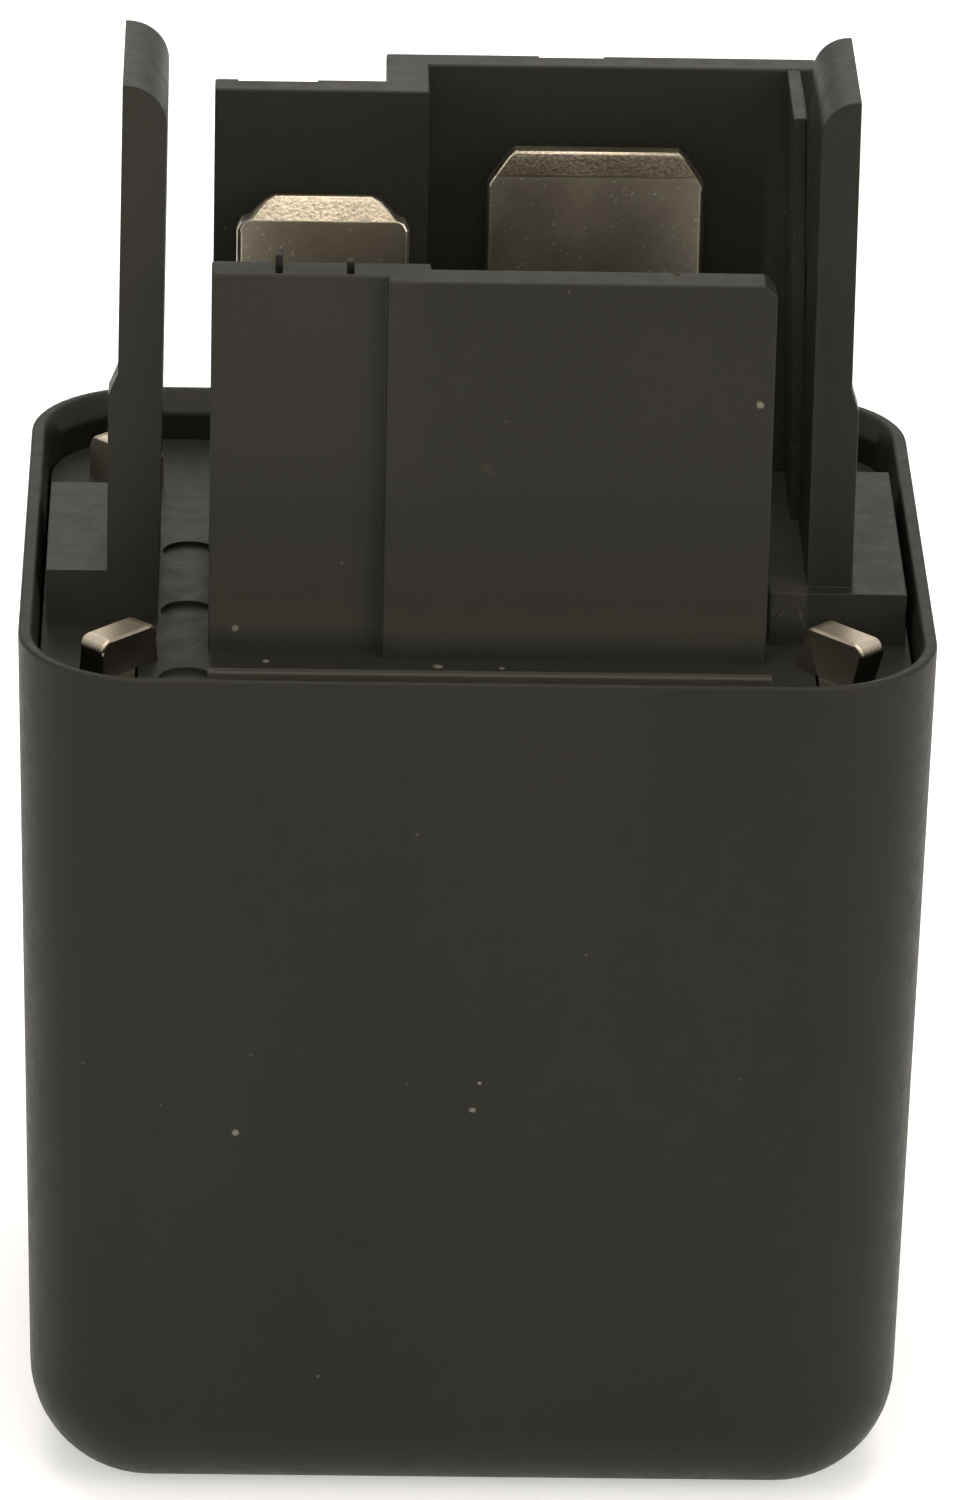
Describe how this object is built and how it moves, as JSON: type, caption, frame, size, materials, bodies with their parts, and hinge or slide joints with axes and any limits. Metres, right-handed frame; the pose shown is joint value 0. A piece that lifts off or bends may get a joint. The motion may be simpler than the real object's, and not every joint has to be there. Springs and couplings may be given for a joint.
{
  "type": "automotive_relay",
  "caption": "Black plastic plug-in automotive relay with two tall guide rails, a stepped connector shroud and flat blade terminals",
  "frame": {"origin": "centre of the closed end of the cap, on the plane it stands on", "axes": "+Z runs from the closed end to the terminals, +X along the long side towards the wide load blades, +Y from the low front wall to the tall rear wall"},
  "size_m": [0.033, 0.0292, 0.0524],
  "materials": {
    "black_plastic_cap": "satin",
    "black_plastic_base": "satin",
    "plated_steel": "satin",
    "soft_iron": "satin",
    "natural_nylon": "matte",
    "copper_enamel": "gloss",
    "amber_tape": "gloss",
    "tinned_brass": "satin",
    "silver_contact": "satin",
    "spring_bronze": "satin",
    "rivet_steel": "satin"
  },
  "bodies": {
    "relay": {"cap": "black_plastic_cap", "base": "black_plastic_base", "yoke": "plated_steel", "core": "soft_iron", "bobbin": "natural_nylon", "coil_winding": "copper_enamel", "winding_tape": "amber_tape", "coil_lead_front": "copper_enamel", "coil_lead_rear": "copper_enamel", "coil_terminal_front": "tinned_brass", "coil_terminal_rear": "tinned_brass", "load_terminal_front": "tinned_brass", "load_terminal_rear": "tinned_brass", "fixed_contact": "silver_contact", "hinge_spring": "spring_bronze", "hinge_spring_rivets": "rivet_steel"},
    "armature": {"armature": "soft_iron", "contact_spring": "spring_bronze", "contact_spring_rivets": "rivet_steel", "moving_contact": "silver_contact"}
  },
  "joints": [
    {"name": "armature_hinge", "type": "hinge", "parent": "relay", "child": "armature", "pos_m": [-0.0135, 0, 0.02355], "axis": [0, 1, 0], "range_deg": [0, 2.4], "stiffness_Nm_per_rad": 0.02, "springref_deg": -2.86}
  ]
}
